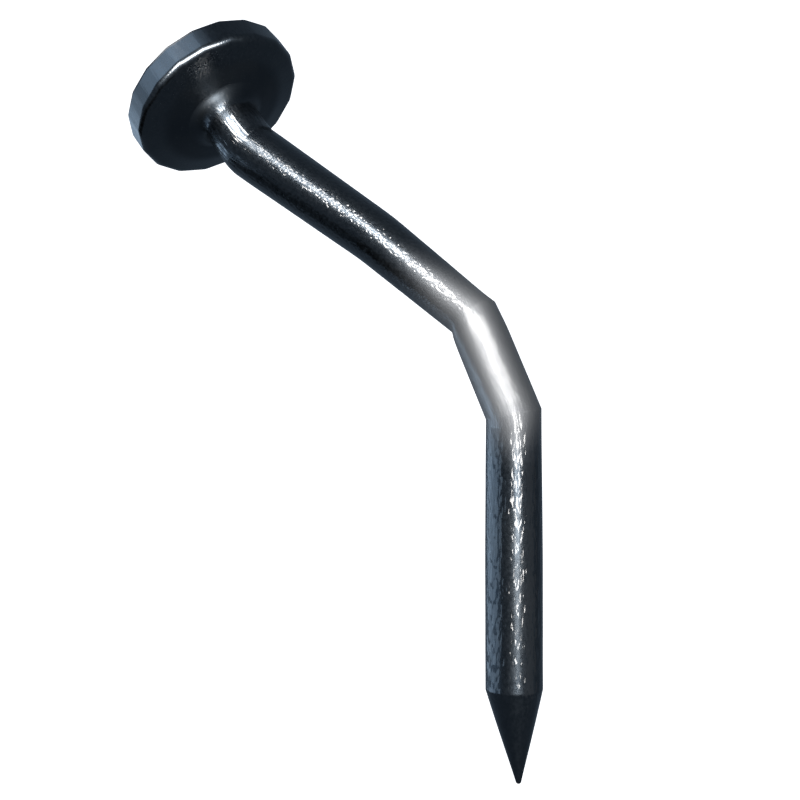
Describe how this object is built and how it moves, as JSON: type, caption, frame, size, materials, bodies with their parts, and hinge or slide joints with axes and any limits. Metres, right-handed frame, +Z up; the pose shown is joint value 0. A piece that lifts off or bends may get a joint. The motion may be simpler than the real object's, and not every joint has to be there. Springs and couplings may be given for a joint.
{
  "type": "tent stake",
  "caption": "Forged round-bar tent stake with a mushroom head, a cranked shank, a bend under the head that carries it out of the shank's plane, and a conical point.",
  "frame": {"origin": "on the axis of the straight lower shank at the ground line, 13 mm below the lower bend's corner", "axes": "+Z up along the straight lower shank, with the point at -Z; the bar leans towards -X above the ground and the shank's bends are in the XZ plane; the bend under the head turns the head towards +Y"},
  "size_m": [0.1105, 0.0371, 0.1496],
  "materials": {
    "forged_steel": "oil-blacked, glossy"
  },
  "bodies": {
    "root": {"head": "forged_steel", "neck": "forged_steel", "neck_bend": "forged_steel", "line_shank": "forged_steel", "upper_shank": "forged_steel", "upper_bend": "forged_steel", "middle_shank": "forged_steel", "lower_bend": "forged_steel", "lower_shank": "forged_steel", "point": "forged_steel"}
  },
  "joints": []
}
